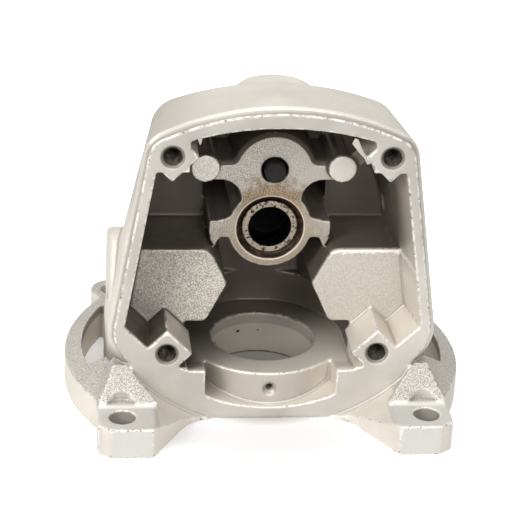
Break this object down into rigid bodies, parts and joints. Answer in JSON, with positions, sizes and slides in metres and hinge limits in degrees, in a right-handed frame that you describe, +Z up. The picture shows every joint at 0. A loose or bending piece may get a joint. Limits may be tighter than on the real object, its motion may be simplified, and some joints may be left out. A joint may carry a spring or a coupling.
{
  "type": "angle grinder gearbox housing",
  "caption": "Cast gear case of an angle grinder, open to the motor, with a spindle bore below, a needle bearing for the pinion shaft, a slotted base ring and handle bosses.",
  "frame": {"origin": "on the spindle axis, in the plane of the base", "axes": "X to the right seen from the motor, Y away from the motor along its axis, Z up along the spindle"},
  "size_m": [0.116, 0.1048, 0.0942],
  "materials": {
    "cast_aluminium": "die cast, fine grain",
    "rubber": "black, moulded",
    "cup_steel": "drawn, stained",
    "cage_steel": "dark, oiled",
    "needle_steel": "ground"
  },
  "bodies": {
    "housing": {"gearbox_housing": "cast_aluminium", "rubber_pin": "rubber", "bearing_cup": "cup_steel"},
    "cage": {"needle_cage": "cage_steel"},
    "needle_01_body": {"needle_01": "needle_steel"},
    "needle_02_body": {"needle_02": "needle_steel"},
    "needle_03_body": {"needle_03": "needle_steel"},
    "needle_04_body": {"needle_04": "needle_steel"},
    "needle_05_body": {"needle_05": "needle_steel"},
    "needle_06_body": {"needle_06": "needle_steel"},
    "needle_07_body": {"needle_07": "needle_steel"},
    "needle_08_body": {"needle_08": "needle_steel"},
    "needle_09_body": {"needle_09": "needle_steel"},
    "needle_10_body": {"needle_10": "needle_steel"},
    "needle_11_body": {"needle_11": "needle_steel"},
    "needle_12_body": {"needle_12": "needle_steel"},
    "needle_13_body": {"needle_13": "needle_steel"},
    "needle_14_body": {"needle_14": "needle_steel"},
    "needle_15_body": {"needle_15": "needle_steel"},
    "needle_16_body": {"needle_16": "needle_steel"},
    "needle_17_body": {"needle_17": "needle_steel"},
    "needle_18_body": {"needle_18": "needle_steel"}
  },
  "joints": [
    {"name": "cage_spin", "type": "hinge", "parent": "housing", "child": "cage", "pos_m": [0, 0.0006, 0.0506], "axis": [0, 1, 0], "continuous": true},
    {"name": "needle_01_roll", "type": "hinge", "parent": "cage", "child": "needle_01_body", "pos_m": [0.00633, 0.0006, 0.04829], "axis": [0, 1, 0], "continuous": true},
    {"name": "needle_02_roll", "type": "hinge", "parent": "cage", "child": "needle_02_body", "pos_m": [0.00516, 0.0006, 0.04627], "axis": [0, 1, 0], "continuous": true},
    {"name": "needle_03_roll", "type": "hinge", "parent": "cage", "child": "needle_03_body", "pos_m": [0.00337, 0.0006, 0.04476], "axis": [0, 1, 0], "continuous": true},
    {"name": "needle_04_roll", "type": "hinge", "parent": "cage", "child": "needle_04_body", "pos_m": [0.00117, 0.0006, 0.04396], "axis": [0, 1, 0], "continuous": true},
    {"name": "needle_05_roll", "type": "hinge", "parent": "cage", "child": "needle_05_body", "pos_m": [-0.00117, 0.0006, 0.04396], "axis": [0, 1, 0], "continuous": true},
    {"name": "needle_06_roll", "type": "hinge", "parent": "cage", "child": "needle_06_body", "pos_m": [-0.00337, 0.0006, 0.04476], "axis": [0, 1, 0], "continuous": true},
    {"name": "needle_07_roll", "type": "hinge", "parent": "cage", "child": "needle_07_body", "pos_m": [-0.00516, 0.0006, 0.04627], "axis": [0, 1, 0], "continuous": true},
    {"name": "needle_08_roll", "type": "hinge", "parent": "cage", "child": "needle_08_body", "pos_m": [-0.00633, 0.0006, 0.04829], "axis": [0, 1, 0], "continuous": true},
    {"name": "needle_09_roll", "type": "hinge", "parent": "cage", "child": "needle_09_body", "pos_m": [-0.00674, 0.0006, 0.0506], "axis": [0, 1, 0], "continuous": true},
    {"name": "needle_10_roll", "type": "hinge", "parent": "cage", "child": "needle_10_body", "pos_m": [-0.00633, 0.0006, 0.05291], "axis": [0, 1, 0], "continuous": true},
    {"name": "needle_11_roll", "type": "hinge", "parent": "cage", "child": "needle_11_body", "pos_m": [-0.00516, 0.0006, 0.05493], "axis": [0, 1, 0], "continuous": true},
    {"name": "needle_12_roll", "type": "hinge", "parent": "cage", "child": "needle_12_body", "pos_m": [-0.00337, 0.0006, 0.05644], "axis": [0, 1, 0], "continuous": true},
    {"name": "needle_13_roll", "type": "hinge", "parent": "cage", "child": "needle_13_body", "pos_m": [-0.00117, 0.0006, 0.05724], "axis": [0, 1, 0], "continuous": true},
    {"name": "needle_14_roll", "type": "hinge", "parent": "cage", "child": "needle_14_body", "pos_m": [0.00117, 0.0006, 0.05724], "axis": [0, 1, 0], "continuous": true},
    {"name": "needle_15_roll", "type": "hinge", "parent": "cage", "child": "needle_15_body", "pos_m": [0.00337, 0.0006, 0.05644], "axis": [0, 1, 0], "continuous": true},
    {"name": "needle_16_roll", "type": "hinge", "parent": "cage", "child": "needle_16_body", "pos_m": [0.00516, 0.0006, 0.05493], "axis": [0, 1, 0], "continuous": true},
    {"name": "needle_17_roll", "type": "hinge", "parent": "cage", "child": "needle_17_body", "pos_m": [0.00633, 0.0006, 0.05291], "axis": [0, 1, 0], "continuous": true},
    {"name": "needle_18_roll", "type": "hinge", "parent": "cage", "child": "needle_18_body", "pos_m": [0.00674, 0.0006, 0.0506], "axis": [0, 1, 0], "continuous": true}
  ],
  "couplings": [
    {"joint": "needle_01_roll", "follows": "cage_spin", "ratio": -10.135},
    {"joint": "needle_02_roll", "follows": "cage_spin", "ratio": -10.135},
    {"joint": "needle_03_roll", "follows": "cage_spin", "ratio": -10.135},
    {"joint": "needle_04_roll", "follows": "cage_spin", "ratio": -10.135},
    {"joint": "needle_05_roll", "follows": "cage_spin", "ratio": -10.135},
    {"joint": "needle_06_roll", "follows": "cage_spin", "ratio": -10.135},
    {"joint": "needle_07_roll", "follows": "cage_spin", "ratio": -10.135},
    {"joint": "needle_08_roll", "follows": "cage_spin", "ratio": -10.135},
    {"joint": "needle_09_roll", "follows": "cage_spin", "ratio": -10.135},
    {"joint": "needle_10_roll", "follows": "cage_spin", "ratio": -10.135},
    {"joint": "needle_11_roll", "follows": "cage_spin", "ratio": -10.135},
    {"joint": "needle_12_roll", "follows": "cage_spin", "ratio": -10.135},
    {"joint": "needle_13_roll", "follows": "cage_spin", "ratio": -10.135},
    {"joint": "needle_14_roll", "follows": "cage_spin", "ratio": -10.135},
    {"joint": "needle_15_roll", "follows": "cage_spin", "ratio": -10.135},
    {"joint": "needle_16_roll", "follows": "cage_spin", "ratio": -10.135},
    {"joint": "needle_17_roll", "follows": "cage_spin", "ratio": -10.135},
    {"joint": "needle_18_roll", "follows": "cage_spin", "ratio": -10.135}
  ]
}
